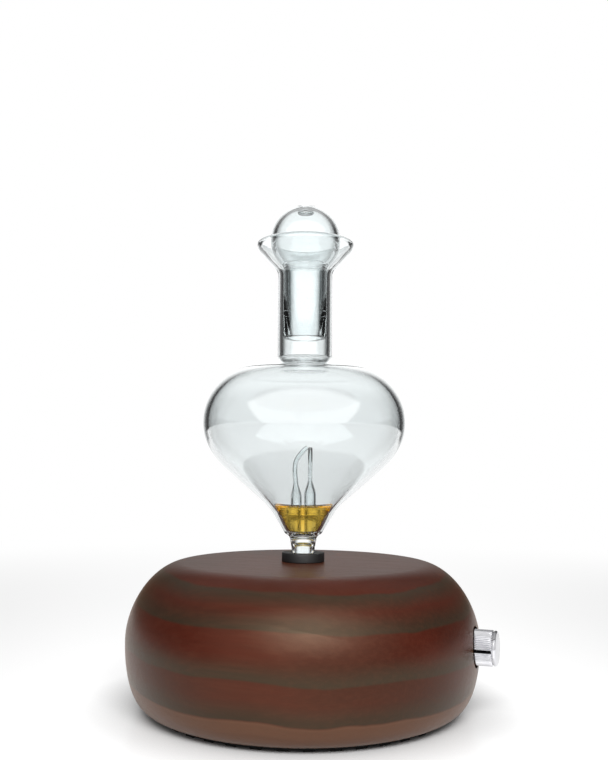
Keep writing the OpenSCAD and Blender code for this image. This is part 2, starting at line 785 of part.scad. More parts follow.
wood_shell();
base_plate();
foot_ring();
base_screws();
socket_collar();
socket_seal();
socket_nut();
hose_barb();
air_hose();
motor_can();
motor_end_cap();
motor_magnets();
motor_terminals();
motor_shaft();
motor_armature();
armature_windings();
commutator();
eccentric_cam();
crank_pin();
pump_housing();
wobble_plate();
diaphragm();
valve_plate();
check_valve();
head_cover();
pump_screws();
pump_sleeve();
pump_cradle();
pump_strap();
strap_screws();
intake_filter();
control_board();
board_standoffs();
board_screws();
board_chips();
board_capacitors();
board_connectors();
control_body();
control_terminals();
control_nut();
control_shaft();
control_knob();
knob_set_screw();
power_jack();
power_jack_pin();
power_jack_nut();
power_jack_terminals();
motor_wires();
control_wires();
power_wires();
reservoir_bowl();
reservoir_bulb();
reservoir_neck();
air_jet_tube();
oil_siphon_tube();
essential_oil();
glass_stopper();
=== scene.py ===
"""The looks of the essential oil diffuser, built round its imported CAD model.

Everything is in the model's frame: +Z up along the glass, +X out through the knob, +Y out through the
power inlet, and the origin under the base. Lengths are millimetres until a mesh is made, and metres for
the camera and the studio.
"""

import json
import math

import bmesh
import bpy
from mathutils import Matrix, Vector


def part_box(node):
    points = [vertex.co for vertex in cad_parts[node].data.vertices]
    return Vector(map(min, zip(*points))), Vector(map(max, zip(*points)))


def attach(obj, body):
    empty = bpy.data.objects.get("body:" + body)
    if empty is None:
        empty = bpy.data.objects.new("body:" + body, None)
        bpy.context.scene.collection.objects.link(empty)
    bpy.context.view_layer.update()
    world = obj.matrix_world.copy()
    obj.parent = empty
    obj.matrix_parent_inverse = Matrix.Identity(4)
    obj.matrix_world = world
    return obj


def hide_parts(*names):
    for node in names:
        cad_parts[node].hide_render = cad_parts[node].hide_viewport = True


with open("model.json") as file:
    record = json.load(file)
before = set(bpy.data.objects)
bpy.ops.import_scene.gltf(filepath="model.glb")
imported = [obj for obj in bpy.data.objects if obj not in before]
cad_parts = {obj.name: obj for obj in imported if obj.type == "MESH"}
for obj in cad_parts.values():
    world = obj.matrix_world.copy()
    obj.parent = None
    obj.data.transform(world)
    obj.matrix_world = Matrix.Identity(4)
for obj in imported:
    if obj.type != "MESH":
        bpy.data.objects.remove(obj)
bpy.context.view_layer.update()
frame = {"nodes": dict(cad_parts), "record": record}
nodes = frame["nodes"]
record = frame["record"]
MM = 0.001


# ---------- Sizes, in millimetres ----------

def node_box(name):
    """A CAD node's lowest and highest corners, in millimetres."""
    low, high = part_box(name)
    return low / MM, high / MM


wood_low, wood_high = node_box("wood_shell")
collar_low, collar_high = node_box("socket_collar")
knob_low, knob_high = node_box("control_knob")
jack_low, jack_high = node_box("power_jack")
bowl_low, bowl_high = node_box("reservoir_bowl")
stopper_low, stopper_high = node_box("glass_stopper")
oil_high = node_box("essential_oil")[1]
jet_high = node_box("air_jet_tube")[1]
foot_high = node_box("foot_ring")[1]

BASE_R = wood_high.x
WOOD_Z0 = wood_low.z
WOOD_Z1 = wood_high.z
KNOB_R = 7.5
KNOB_Z = (knob_low.z + knob_high.z) / 2
JACK_Z = (jack_low.z + jack_high.z) / 2
SEAT_Z = bowl_low.z
COLLAR_R = collar_high.x
COLLAR_Z = collar_high.z
BOWL_Z = COLLAR_Z + 9.2
BULB_R = bowl_high.x
NECK_R = 12.8
MOUTH_Z = 196.8
RIM_Z = 212.2
GLASS_T = 2.4
BALL_R = stopper_high.x
BALL_Z = 214.9
OIL_Z = oil_high.z
TUBE_ANGLE = math.radians(20)
VIEW_ANGLE = math.radians(20)


# ---------- Outlines ----------

def bezier(a, b, c, d, steps=16):
    """Points of a cubic curve, without its last point."""
    line = []
    for i in range(steps):
        t = i / steps
        s = 1 - t
        weights = (s * s * s, 3 * s * s * t, 3 * s * t * t, t * t * t)
        line.append(tuple(sum(w * p[k] for w, p in zip(weights, (a, b, c, d))) for k in (0, 1)))
    return line


def shifted(point, dr, dz):
    return (point[0] + dr, point[1] + dz)


def superellipse(r_min, r_max, z_wide, z_flat, power, steps=40):
    """A rounded edge from r_max at the height z_wide to r_min at z_flat."""
    line = []
    for i in range(steps + 1):
        a = math.pi / 2 * i / steps
        r = r_min + (r_max - r_min) * max(math.cos(a), 0.0) ** (2 / power)
        line.append((r, z_wide + (z_flat - z_wide) * math.sin(a) ** (2 / power)))
    return line


def arc(radius, centre_z, start, end, steps):
    """An arc about a point on the axis, from start to end degrees above the horizontal."""
    line = []
    for i in range(steps + 1):
        a = math.radians(start + (end - start) * i / steps)
        line.append((radius * math.cos(a), centre_z + radius * math.sin(a)))
    return line


def inset(line, start, end):
    """The line moved in by the wall, which is start thick at its first point and end thick at its last."""
    moved = []
    for i, (r, z) in enumerate(line):
        before = line[max(i - 1, 0)]
        after = line[min(i + 1, len(line) - 1)]
        along = Vector((after[0] - before[0], after[1] - before[1])).normalized()
        wall = start + (end - start) * i / (len(line) - 1)
        moved.append((r - wall * along.y, z + wall * along.x))
    return moved


def softened(points, radius, steps=4):
    """A closed outline with its corners rounded; corners on the axis stay as they are."""
    line = []
    for i, point in enumerate(points):
        if point[0] == 0:
            line.append(point)
            continue
        here = Vector(point)
        before = Vector(points[i - 1]) - here
        after = Vector(points[(i + 1) % len(points)]) - here
        start = here + before.normalized() * min(radius, before.length * 0.45)
        end = here + after.normalized() * min(radius, after.length * 0.45)
        for k in range(steps + 1):
            t = k / steps
            line.append(tuple((1 - t) ** 2 * start + 2 * t * (1 - t) * here + t * t * end))
    return line


# ---------- Meshes ----------

def finish_mesh(name, bm, sharp=35):
    """An object from a bmesh in millimetres, smooth but for edges sharper than that many degrees."""
    bmesh.ops.recalc_face_normals(bm, faces=bm.faces)
    bmesh.ops.transform(bm, matrix=Matrix.Scale(MM, 4), verts=bm.verts)
    mesh = bpy.data.meshes.new(name)
    bm.to_mesh(mesh)
    bm.free()
    mesh.polygons.foreach_set("use_smooth", [True] * len(mesh.polygons))
    mesh.set_sharp_from_angle(angle=math.radians(sharp))
    piece = bpy.data.objects.new(name, mesh)
    bpy.context.scene.collection.objects.link(piece)
    return piece


def lathe_into(bm, outline, steps=160, profile=None, place=None):
    """Revolves a closed outline of (radius, height) points; profile(r, z, angle) may change the radius."""
    rings = []
    for r, z in outline:
        if r < 1e-6:
            rings.append([bm.verts.new((0, 0, z))] * steps)
            continue
        ring = []
        for i in range(steps):
            a = 2 * math.pi * i / steps
            radius = profile(r, z, a) if profile else r
            ring.append(bm.verts.new((radius * math.cos(a), radius * math.sin(a), z)))
        rings.append(ring)
    for lower, upper in zip(rings, rings[1:] + rings[:1]):
        for i in range(steps):
            j = (i + 1) % steps
            corners = list(dict.fromkeys((lower[i], lower[j], upper[j], upper[i])))
            if len(corners) > 2:
                bm.faces.new(corners)
    if place:
        made = {v for ring in rings for v in ring}
        bmesh.ops.transform(bm, matrix=place, verts=list(made))


def lathe(name, outline, steps=160, profile=None, place=None, sharp=35):
    bm = bmesh.new()
    lathe_into(bm, outline, steps, profile, place)
    return finish_mesh(name, bm, sharp)


def along_x(x, y, z):
    """Stands a revolved piece along +X from that point."""
    return Matrix.Translation((x, y, z)) @ Matrix.Rotation(math.pi / 2, 4, "Y")


def along_y(x, y, z):
    return Matrix.Translation((x, y, z)) @ Matrix.Rotation(-math.pi / 2, 4, "X")


def smooth_path(points, steps):
    """A smooth path through every point."""
    line = []
    last = len(points) - 1
    for i in range(last):
        a, b, c, d = (Vector(points[min(max(k, 0), last)]) for k in (i - 1, i, i + 1, i + 2))
        for k in range(steps):
            t = k / steps
            line.append(0.5 * (2 * b + (c - a) * t + (2 * a - 5 * b + 4 * c - d) * t * t
                               + (3 * b - a - 3 * c + d) * t * t * t))
    line.append(Vector(points[last]))
    return line


def swept_tube(name, path, outer, inner, sides=40, place=None):
    """A hollow tube along a path, with round lips; outer and inner are functions of the way along, 0 to 1."""
    bm = bmesh.new()
    frames = []
    side = Vector((0, 1, 0))
    travelled = [0.0]
    for a, b in zip(path, path[1:]):
        travelled.append(travelled[-1] + (b - a).length)
    for i, point in enumerate(path):
        tangent = (path[min(i + 1, len(path) - 1)] - path[max(i - 1, 0)]).normalized()
        side = (side - tangent * side.dot(tangent)).normalized()
        frames.append((point, side.copy(), tangent.cross(side), tangent, travelled[i] / travelled[-1]))

    def ring(place_at, radius, lift=0.0):
        centre, u, v, tangent, _ = place_at
        centre = centre + tangent * lift
        angles = [2 * math.pi * k / sides for k in range(sides)]
        return [bm.verts.new(centre + radius * (math.cos(a) * u + math.sin(a) * v)) for a in angles]

    rings = [ring(f, outer(f[4])) for f in frames]
    tip = frames[-1]
    wall = (outer(1) - inner(1)) / 2
    for k in range(1, 6):
        a = math.pi * k / 6
        rings.append(ring(tip, inner(1) + wall + wall * math.cos(a), wall * math.sin(a)))
    rings += [ring(f, inner(f[4])) for f in reversed(frames)]
    for lower, upper in zip(rings, rings[1:] + rings[:1]):
        for i in range(sides):
            j = (i + 1) % sides
            bm.faces.new((lower[i], lower[j], upper[j], upper[i]))
    if place:
        bmesh.ops.transform(bm, matrix=place, verts=bm.verts)
    return finish_mesh(name, bm, 50)


def cut(piece, *cutters):
    """Takes the cutters out of the piece and removes them."""
    for cutter in cutters:
        modifier = piece.modifiers.new("cut", "BOOLEAN")
        modifier.operation = "DIFFERENCE"
        modifier.solver = "EXACT"
        modifier.object = cutter
    bpy.context.view_layer.update()
    evaluated = piece.evaluated_get(bpy.context.evaluated_depsgraph_get())
    mesh = bpy.data.meshes.new_from_object(evaluated)
    piece.modifiers.clear()
    piece.data = mesh
    for cutter in cutters:
        bpy.data.objects.remove(cutter)
    mesh.polygons.foreach_set("use_smooth", [True] * len(mesh.polygons))
    mesh.set_sharp_from_angle(angle=math.radians(35))
    return piece


# ---------- Material nodes ----------

class Nodes:
    """Short ways to add linked shader nodes to one material."""

    def __init__(self, name):
        self.material = bpy.data.materials.new(name)
        self.material.use_nodes = True
        self.tree = self.material.node_tree
        self.shader = self.tree.nodes["Principled BSDF"]
        self.output = self.tree.nodes["Material Output"]

    def link(self, source, target):
        self.tree.links.new(source, target)
        return self

    def add(self, kind, inputs=(), **settings):
        node = self.tree.nodes.new(kind)
        for key, value in settings.items():
            setattr(node, key, value)
        for key, value in dict(inputs).items():
            if isinstance(value, bpy.types.NodeSocket):
                self.link(value, node.inputs[key])
            else:
                node.inputs[key].default_value = value
        return node

    def place(self, scale=(1, 1, 1), turn=0.0):
        """Coordinates in metres in the model's frame, turned about Z and stretched."""
        coordinates = self.add("ShaderNodeTexCoord").outputs["Object"]
        inputs = {"Vector": coordinates, "Scale": scale, "Rotation": (0, 0, turn)}
        return self.add("ShaderNodeMapping", inputs).outputs["Vector"]

    def noise(self, vector, scale, detail=2.0, rough=0.5):
        inputs = {"Vector": vector, "Scale": scale, "Detail": detail, "Roughness": rough}
        return self.add("ShaderNodeTexNoise", inputs).outputs["Fac"]

    def maths(self, operation, a, b=0.5, c=0.5, clamp=False):
        node = self.add("ShaderNodeMath", operation=operation, use_clamp=clamp)
        for k, value in enumerate((a, b, c)):
            if isinstance(value, bpy.types.NodeSocket):
                self.link(value, node.inputs[k])
            else:
                node.inputs[k].default_value = value
        return node.outputs[0]

    def spread(self, value, low, high, to_low=0.0, to_high=1.0):
        """The value's span low to high taken to to_low to to_high, with soft ends."""
        inputs = {"Value": value, "From Min": low, "From Max": high, "To Min": to_low, "To Max": to_high}
        return self.add("ShaderNodeMapRange", inputs, interpolation_type="SMOOTHSTEP").outputs["Result"]

    def mix(self, factor, a, b, blend="MIX"):
        node = self.add("ShaderNodeMix", data_type="RGBA", blend_type=blend)
        for k, value in ((0, factor), (6, a), (7, b)):
            if isinstance(value, bpy.types.NodeSocket):
                self.link(value, node.inputs[k])
            else:
                node.inputs[k].default_value = value
        return node.outputs[2]

    def bump(self, height, strength, distance_mm, normal=None):
        inputs = {"Height": height, "Strength": strength, "Distance": distance_mm * MM}
        if normal:
            inputs["Normal"] = normal
        return self.add("ShaderNodeBump", inputs).outputs["Normal"]

    def set(self, **values):
        """Sets the shader's own inputs: base_color is its Base Color, and ior its IOR."""
        for key, value in values.items():
            name = key.replace("_", " ").title().replace("Ior", "IOR")
            self.shader.inputs[name].default_value = value
        return self

    def feed(self, name, socket):
        return self.link(socket, self.shader.inputs[name])

    def let_lamps_through(self, tint):
        """In shadow rays, a tinted transparent shader stands in for the shader."""
        clear = self.add("ShaderNodeBsdfTransparent", {"Color": tint})
        in_shadow = self.add("ShaderNodeLightPath").outputs["Is Shadow Ray"]
        both = self.add("ShaderNodeMixShader", {0: in_shadow, 1: self.shader.outputs[0], 2: clear.outputs[0]})
        return self.link(both.outputs[0], self.output.inputs["Surface"])


def srgb(r, g, b):
    """A display colour, 0 to 255, as the linear colour that shaders take."""
    def linear(v):
        v = v / 255
        return v / 12.92 if v <= 0.04045 else ((v + 0.055) / 1.055) ** 2.4
    return (linear(r), linear(g), linear(b), 1.0)


def scaled(colour, factor):
    return tuple(min(1.0, c * factor) for c in colour[:3]) + (1.0,)


# ---------- Materials ----------

GRAIN_TURN = -VIEW_ANGLE
BAND_DISH = 0.15
BAND_WANDER = 10.0
BAND_RIPPLE = 2.5
FINE_RING = 4.2
# the dark bands: the edge's height, how far the band fades and how soft its edge is (minus is
# downwards), and its strength
GRAIN_BANDS = (
    (60.0, -7.0, 0.7, 0.95),
    (47.0, 9.0, -1.0, 0.95),
    (29.0, 9.0, -0.9, 1.00),
    (14.0, 9.0, -0.9, 0.95),
)
# the painted reflection of the white floor: the wood is paler below this height, along the grain, with an
# edge this soft
FLOOR_REFLECTION_BELOW = 14.0
FLOOR_REFLECTION_EDGE = 1.2


def grain_level(m):
    """A height in metres that dishes, wanders and ripples from place to place, as growth rings do."""
    point = m.add("ShaderNodeSeparateXYZ", {"Vector": m.place((1, 1, 1), GRAIN_TURN)}).outputs
    level = m.maths("MULTIPLY_ADD", m.maths("MULTIPLY", point["Y"], point["Y"]), BAND_DISH, point["Z"])
    for scale, reach in (((11, 11, 6), BAND_WANDER), ((30, 60, 60), BAND_RIPPLE)):
        drift = m.noise(m.place(scale, GRAIN_TURN), 1.0, 2.0, 0.5)
        level = m.maths("MULTIPLY_ADD", m.maths("SUBTRACT", drift, 0.5), reach * MM, level)
    return level


def grain_bands(m, level):
    """How dark the bands are: each fades in from one side and ends at an edge on the other."""
    bands = 0.0
    for height, fade, edge, strength in GRAIN_BANDS:
        away = m.maths("SUBTRACT", level, height * MM)
        band = m.maths("MULTIPLY", m.spread(away, fade * MM, 0.0), m.spread(away, edge * MM, 0.0))
        bands = m.maths("MAXIMUM", bands, m.maths("MULTIPLY", band, strength))
    return bands


def make_wood():
    """Dark turned hardwood: bands across the height, fibres along the grain, pores, a satin lacquer and a
    painted reflection of the floor low down.
    """
    m = Nodes("dark_hardwood")
    level = grain_level(m)
    patches = m.noise(m.place((9, 14, 26), GRAIN_TURN), 1.0, 2.0, 0.5)
    colour = m.mix(m.spread(patches, 0.35, 0.68), srgb(57, 18, 10), srgb(40, 11, 5))
    colour = m.mix(grain_bands(m, level), colour, srgb(37, 29, 21))
    # painted reflection of the white floor: the wood is paler under the lowest band
    pale = m.spread(level, FLOOR_REFLECTION_BELOW * MM, (FLOOR_REFLECTION_BELOW - FLOOR_REFLECTION_EDGE) * MM)
    colour = m.mix(pale, colour, srgb(80, 53, 40))
    rings = m.maths("FRACT", m.maths("MULTIPLY", level, 1 / (FINE_RING * MM)))
    fine = m.maths("MULTIPLY", m.spread(rings, 0.2, 0.9), m.spread(rings, 1.0, 0.93))
    colour = m.mix(m.maths("MULTIPLY", fine, 0.09), colour, srgb(38, 18, 12))
    fibres = m.noise(m.place((40, 700, 700), GRAIN_TURN), 1.0, 2.0, 0.6)
    colour = m.mix(m.spread(fibres, 0.40, 0.70, 0.0, 0.09), colour, srgb(84, 44, 29))
    pores = m.spread(m.noise(m.place((260, 2600, 2600), GRAIN_TURN), 1.0, 2.0, 0.6), 0.62, 0.72)
    colour = m.mix(m.maths("MULTIPLY", pores, 0.22), colour, srgb(22, 11, 8))
    m.feed("Base Color", colour)
    m.feed("Roughness", m.maths("MULTIPLY_ADD", pores, 0.1, m.spread(fibres, 0.3, 0.7, 0.32, 0.37)))
    normal = m.bump(m.noise(m.place(), 850.0, 2.0, 0.5), 0.35, 0.06)
    normal = m.bump(fibres, 0.12, 0.02, normal)
    m.feed("Normal", m.bump(m.maths("SUBTRACT", 1.0, pores), 0.25, 0.03, normal))
    m.set(ior=1.40, specular_ior_level=0.5, specular_tint=srgb(255, 222, 188), sheen_weight=0.08,
          sheen_roughness=0.35, sheen_tint=srgb(230, 180, 130))
    return m.material


def make_glass(name, tint):
    """Clear glass with faint flow marks; lamps shine through it, so it casts only a soft shadow."""
    m = Nodes(name)
    m.set(base_color=tint, roughness=0.0, ior=1.48, transmission_weight=1.0)
    flow = m.noise(m.place((1, 1, 0.35)), 34.0, 1.0, 0.4)
    m.feed("Normal", m.bump(flow, 0.04, 0.20))
    m.let_lamps_through(tint)
    return m.material


def make_oil():
    """Amber oil that deepens with its thickness."""
    m = Nodes("amber_oil")
    m.set(base_color=(1.0, 0.84, 0.38, 1.0), roughness=0.0, ior=1.42, transmission_weight=1.0)
    swirl = m.noise(m.place((1, 1, 0.6)), 60.0, 2.0, 0.5)
    m.feed("Normal", m.bump(swirl, 0.12, 0.3))
    m.let_lamps_through((1.0, 0.80, 0.30, 1.0))
    depth = m.add("ShaderNodeVolumeAbsorption", {"Color": (0.93, 0.72, 0.0, 1.0), "Density": 66.0})
    m.link(depth.outputs[0], m.output.inputs["Volume"])
    return m.material


# the painted dark reflection, a black line along the knob's barrel: how far under the axis, how wide, and the
# x where it ends
DARK_REFLECTION_DROP = 0.4
DARK_REFLECTION_WIDTH = 1.1
DARK_REFLECTION_SOFT = 0.1
DARK_REFLECTION_END = 86.2


def painted_dark_reflection(m):
    """1 on the painted dark reflection line and 0 off it."""
    point = m.add("ShaderNodeSeparateXYZ", {"Vector": m.place()}).outputs
    off = m.maths("ABSOLUTE", m.maths("SUBTRACT", point["Z"], (KNOB_Z - DARK_REFLECTION_DROP) * MM))
    line = m.spread(off, (DARK_REFLECTION_WIDTH / 2 + DARK_REFLECTION_SOFT) * MM, DARK_REFLECTION_WIDTH / 2 * MM)
    line = m.maths("MULTIPLY", line, m.maths("LESS_THAN", point["Y"], 0.0))
    return m.maths("MULTIPLY", line, m.maths("LESS_THAN", point["X"], DARK_REFLECTION_END * MM))


def make_chrome():
    """Bright plated metal with a faint haze, and a painted dark reflection: a black line along its side."""
    m = Nodes("knob_chrome")
    smudge = m.noise(m.place(), 190.0, 3.0, 0.6)
    plating = m.mix(m.spread(smudge, 0.3, 0.7), srgb(226, 226, 229), srgb(212, 212, 216))
    # painted reflection: a dark reflection is painted into the chrome's colour as a black line on its -Y side
    m.feed("Base Color", m.mix(painted_dark_reflection(m), plating, srgb(14, 14, 16)))
    m.feed("Roughness", m.spread(smudge, 0.3, 0.75, 0.07, 0.15))
    m.set(metallic=1.0)
    m.feed("Normal", m.bump(m.noise(m.place((1, 40, 40)), 120.0, 1.0), 0.02, 0.01))
    return m.material


def make_plastic(name, colour, rough, gloss=0.5, peel=900.0, depth=0.04):
    """Moulded plastic: a fine spark-eroded texture and a little variation in shade and gloss."""
    m = Nodes(name)
    texture = m.noise(m.place(), peel, 2.0, 0.6)
    cloud = m.noise(m.place(), 90.0, 3.0, 0.6)
    m.feed("Base Color", m.mix(m.spread(cloud, 0.3, 0.7), scaled(colour, 0.86), scaled(colour, 1.14)))
    m.feed("Roughness", m.spread(cloud, 0.3, 0.7, rough - 0.05, rough + 0.07))
    m.feed("Normal", m.bump(texture, 0.4, depth))
    m.set(specular_ior_level=gloss)
    return m.material


def make_metal(name, colour, rough, lines=(1, 1, 30)):
    """Turned or rolled metal: fine lines across it and a patchy sheen."""
    m = Nodes(name)
    cloud = m.noise(m.place(), 130.0, 3.0, 0.6)
    brush = m.noise(m.place(lines), 160.0, 3.0, 0.65)
    m.feed("Base Color", m.mix(m.spread(cloud, 0.3, 0.7), scaled(colour, 0.9), scaled(colour, 1.08)))
    m.feed("Roughness", m.spread(brush, 0.3, 0.7, rough - 0.08, rough + 0.1))
    m.feed("Normal", m.bump(brush, 0.15, 0.02))
    m.set(metallic=1.0)
    return m.material


def make_felt(name, colour):
    """Pressed felt: short tangled fibres."""
    m = Nodes(name)
    fuzz = m.noise(m.place(), 1600.0, 4.0, 0.7)
    m.feed("Base Color", m.mix(m.spread(fuzz, 0.3, 0.7), scaled(colour, 0.75), scaled(colour, 1.1)))
    m.feed("Normal", m.bump(fuzz, 0.8, 0.2))
    m.set(roughness=0.95, sheen_weight=0.3, specular_ior_level=0.2)
    return m.material


def make_wires(name):
    """Wire insulation, each wire in its own colour."""
    m = Nodes(name)
    ramp = m.add("ShaderNodeValToRGB")
    ramp.color_ramp.interpolation = "CONSTANT"
    shades = (srgb(20, 20, 20), srgb(179, 38, 30), srgb(216, 180, 0), srgb(31, 111, 58))
    for k, shade in enumerate(shades):
        stop = ramp.color_ramp.elements[k] if k < 2 else ramp.color_ramp.elements.new(k / len(shades))
        stop.position = k / len(shades)
        stop.color = shade
    m.link(m.add("ShaderNodeNewGeometry").outputs["Random Per Island"], ramp.inputs[0])
    m.feed("Base Color", ramp.outputs[0])
    m.feed("Roughness", m.spread(m.noise(m.place(), 300.0, 2.0), 0.3, 0.7, 0.3, 0.45))
    return m.material


CLEAR_TINT = (0.872, 0.900, 0.904, 1.0)
PLAIN_FINISHES = {
    "matte_plastic": lambda name, colour: make_plastic(name, colour, 0.55),
    "gloss_plastic": lambda name, colour: make_plastic(name, colour, 0.28, depth=0.02),
    "rubber": lambda name, colour: make_plastic(name, colour, 0.78, gloss=0.3, depth=0.08),
    "brushed_steel": lambda name, colour: make_metal(name, colour, 0.33),
    "aluminium": lambda name, colour: make_metal(name, colour, 0.3, (1, 1, 1)),
    "brass": lambda name, colour: make_metal(name, colour, 0.28),
    "cast_iron": lambda name, colour: make_metal(name, colour, 0.6, (1, 1, 1)),
    "painted_metal": lambda name, colour: make_plastic(name, colour, 0.4, depth=0.02),
    "fabric": make_felt,
}
SPECIAL_FINISHES = {
    "wood": make_wood,
    "clear_glass": lambda: make_glass("clear_glass", CLEAR_TINT),
    "amber_oil": make_oil,
    "knob_chrome": make_chrome,
    "wire_insulation": lambda: make_wires("wire_insulation"),
}


# finishes shown darker than the colour in the record, by this factor
SHADES = {"collar_plastic": 0.15}


def make_materials():
    """Every finish in the record, by its slot."""
    made = {}
    for entry in record["materials"]:
        name = entry["slot"]
        colour = srgb(*(255 * c for c in entry["base_color"][:3]))
        if name in SPECIAL_FINISHES:
            made[name] = SPECIAL_FINISHES[name]()
        else:
            made[name] = PLAIN_FINISHES[entry["class"]](name, scaled(colour, SHADES.get(name, 1.0)))
    return made


materials = make_materials()
for part in record["subparts"]:
    shown = nodes[part["node"]]
    shown.data.materials.clear()
    shown.data.materials.append(materials[part["material_slot"]])


def add_piece(piece, slot, body, *stands_for):
    """Gives a new piece its finish and body, and the CAD nodes that it stands for."""
    piece.data.materials.clear()
    piece.data.materials.append(materials[slot])
    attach(piece, body)
    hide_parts(*stands_for)
    return piece


# ---------- Base ----------

PLATE_R = 60.6
PLATE_T = 3
PLATE_GAP = 0.4
CAVITY_R = 54.0
CAVITY_TOP_R = 45.0
CAVITY_SHOULDER = 40
BARREL_R = 6.4
# the flat wall behind the knob, and the one behind the power inlet: inner and outer faces
WALL_X = (65.0, 69.0)
WALL_Y = (64.0, 68.0)


def solid_block(name, low, high):
    """A block between two corners, to cut with."""
    bm = bmesh.new()
    bmesh.ops.create_cube(bm, size=1.0)
    size = [b - a for a, b in zip(low, high)]
    centre = [(a + b) / 2 for a, b in zip(low, high)]
    bmesh.ops.transform(bm, matrix=Matrix.LocRotScale(Vector(centre), None, Vector(size)), verts=bm.verts)
    return finish_mesh(name, bm)


def bore(name, radius, start, end, place, chamfer=0.0):
    """A round bore to cut with, along its axis from start to end, narrower at its start by the chamfer."""
    corner = [(radius - chamfer, start), (radius, start + chamfer)] if chamfer else [(radius, start)]
    return lathe(name, [(0, start)] + corner + [(radius, end), (0, end)], 96, place=place)


def make_wood_body():
    """The turned body, hollow from below, with the pockets for the knob and the power inlet bored in."""
    plate_top = WOOD_Z0 + PLATE_T
    hole_r = BARREL_R + 0.2
    hole_bevel = 0.4
    upper = superellipse(55, BASE_R, KNOB_Z, WOOD_Z1, 1.8)
    lower = superellipse(67.5, BASE_R, KNOB_Z, WOOD_Z0, 2.2)
    top = [(r, WOOD_Z1) for r in (46, 36, 26, 16, hole_r + hole_bevel)]
    top += [(hole_r, WOOD_Z1 - hole_bevel), (hole_r, SEAT_Z)]
    inside = [(CAVITY_TOP_R, SEAT_Z), (CAVITY_R, plate_top + CAVITY_SHOULDER), (CAVITY_R, plate_top),
              (PLATE_R + PLATE_GAP, plate_top), (PLATE_R + PLATE_GAP, WOOD_Z0)]
    piece = lathe("turned_wood_base", lower[::-1] + upper[1:] + top + inside, 256)
    through = (-5, 1)
    outwards = (0, 30)
    at_knob = along_x(WALL_X[1], 0, KNOB_Z)
    at_inlet = along_y(0, WALL_Y[1], JACK_Z)
    return cut(piece,
               solid_block("knob_flat", (40, -13, KNOB_Z - 18), (WALL_X[0], 13, KNOB_Z + 13)),
               solid_block("inlet_flat", (-10, 40, JACK_Z - 10), (10, WALL_Y[0], JACK_Z + 10)),
               bore("knob_pocket", KNOB_R + 1.2, *outwards, at_knob, 0.3),
               bore("bushing_hole", 3.6, *through, at_knob),
               bore("inlet_pocket", 9, *outwards, at_inlet, 0.3),
               bore("inlet_hole", 5.7, *through, at_inlet))


def make_foot():
    """A rubber ring with a row of tread blocks under it."""
    outer = foot_high.x
    inner = PLATE_R + 1
    middle = (inner + outer) / 2
    split_z = foot_high.z * 0.3
    block_count = 40
    block_gap = 5.0
    block = Vector((outer - inner - 0.5, 2 * math.pi * middle / block_count - block_gap, split_z + 0.3))
    taper = 0.88
    bm = bmesh.new()
    ring = [(inner, split_z), (outer, split_z), (outer, foot_high.z), (inner, foot_high.z)]
    lathe_into(bm, softened(ring, 0.25, 3), 320)
    for k in range(block_count):
        made = bmesh.ops.create_cube(bm, size=1.0)["verts"]
        for v in made:
            side = taper if v.co.z < 0 else 1
            v.co = Vector((middle + v.co.x * block.x, v.co.y * block.y * side, (v.co.z + 0.5) * block.z))
        turn = Matrix.Rotation(2 * math.pi * (k + 0.5) / block_count, 4, "Z")
        bmesh.ops.transform(bm, matrix=turn, verts=made)
        edges = list({e for v in made for e in v.link_edges})
        bmesh.ops.bevel(bm, geom=edges, offset=0.16, segments=2, affect="EDGES", profile=0.5)
    return finish_mesh("rubber_foot_ring", bm, 40)


def make_collar():
    """The turned collar that the glass plug stands in: bevelled flange, seal groove and tapered seat."""
    bore_r = 3.2
    seat_r, mouth_r, groove_r = 5.06, 5.45, 7.3
    groove_z0, groove_z1 = COLLAR_Z - 3.2, COLLAR_Z - 1.0
    outline = [(seat_r, SEAT_Z), (bore_r, SEAT_Z), (bore_r, collar_low.z), (BARREL_R, collar_low.z),
               (BARREL_R, WOOD_Z1), (COLLAR_R, WOOD_Z1 + 0.02), (COLLAR_R, COLLAR_Z), (mouth_r, COLLAR_Z),
               (5.4, groove_z1), (groove_r, groove_z1), (groove_r, groove_z0), (5.35, groove_z0)]
    return lathe("glass_socket_collar", softened(outline, 0.45, 4), 128)


def make_jack():
    """The power inlet's bushing, with a bevelled flange and mouth."""
    y = WALL_Y[1]
    front = jack_high.y - y
    back = -10.5
    pin_r, body_r, thread_r, flange_r, mouth_r = 0.85, 4.5, 5.6, 7.0, 3.15
    outline = [(pin_r, back), (body_r, back), (body_r, -9.2), (thread_r, -9.2), (thread_r, -0.02),
               (flange_r, -0.02), (flange_r, front), (mouth_r, front), (mouth_r, -8.0), (pin_r, -8.0)]
    return lathe("power_inlet_bushing", softened(outline, 0.35, 3), 96, place=along_y(0, y, JACK_Z))


# ---------- Knob ----------

